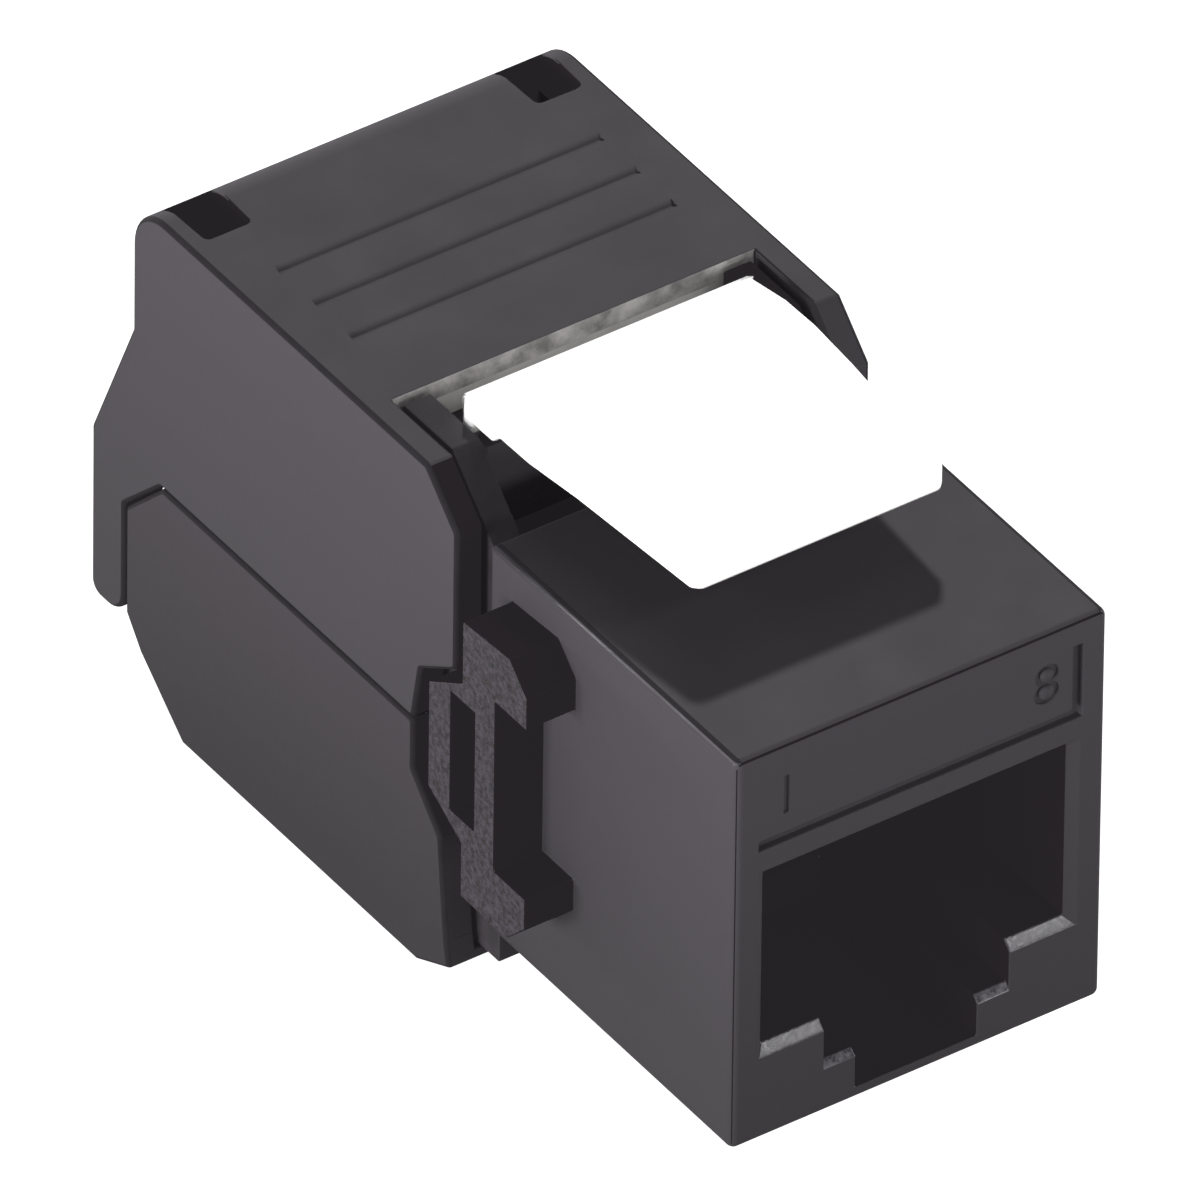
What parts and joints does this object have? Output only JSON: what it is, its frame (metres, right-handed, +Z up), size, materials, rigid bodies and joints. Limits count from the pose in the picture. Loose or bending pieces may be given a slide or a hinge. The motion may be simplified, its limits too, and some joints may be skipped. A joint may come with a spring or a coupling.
{
  "type": "keystone jack",
  "caption": "Snap-in jack module with a plug port in front, a white flexing latch tab, C-shaped side stops and a hinged rear hood that closes over the wire contacts.",
  "frame": {"origin": "bottom centre of the whole jack, between its lowest faces and midway from the front face to the rear legs", "axes": "+X across the jack, to the right seen from the front; +Y from the front face to the rear; +Z up, from the shell's floor to the latch tab"},
  "size_m": [0.0186, 0.0358, 0.022],
  "materials": {
    "black_plastic": "fine spark-eroded matte moulding",
    "white_plastic": "smooth satin moulding",
    "natural_plastic": "natural, slightly yellow moulding",
    "dark_insert": "smooth insulating moulding",
    "board_green": "solder mask",
    "fork_metal": "tinned bronze sheet",
    "gold_contact": "gold plated"
  },
  "bodies": {
    "jack": {"front_housing": "black_plastic", "lower_shell": "black_plastic", "circuit_board": "board_green", "wire_block": "natural_plastic", "contact_carrier": "dark_insert", "wire_contact_1": "fork_metal", "wire_contact_2": "fork_metal", "wire_contact_3": "fork_metal", "wire_contact_4": "fork_metal", "wire_contact_5": "fork_metal", "wire_contact_6": "fork_metal", "wire_contact_7": "fork_metal", "wire_contact_8": "fork_metal", "port_contact_1": "gold_contact", "port_contact_2": "gold_contact", "port_contact_3": "gold_contact", "port_contact_4": "gold_contact", "port_contact_5": "gold_contact", "port_contact_6": "gold_contact", "port_contact_7": "gold_contact", "port_contact_8": "gold_contact"},
    "hood": {"hood": "black_plastic", "wire_presser": "white_plastic"},
    "latch": {"latch_tab": "white_plastic"}
  },
  "joints": [
    {"name": "hood_hinge", "type": "hinge", "parent": "jack", "child": "hood", "pos_m": [0, 0.0169, 0.00394], "axis": [-1, 0, 0], "range_deg": [0, 90]},
    {"name": "latch_flex", "type": "hinge", "parent": "jack", "child": "latch", "pos_m": [0, -0.00001, 0.01815], "axis": [1, 0, 0], "range_deg": [0, 6], "stiffness_Nm_per_rad": 0.02}
  ]
}
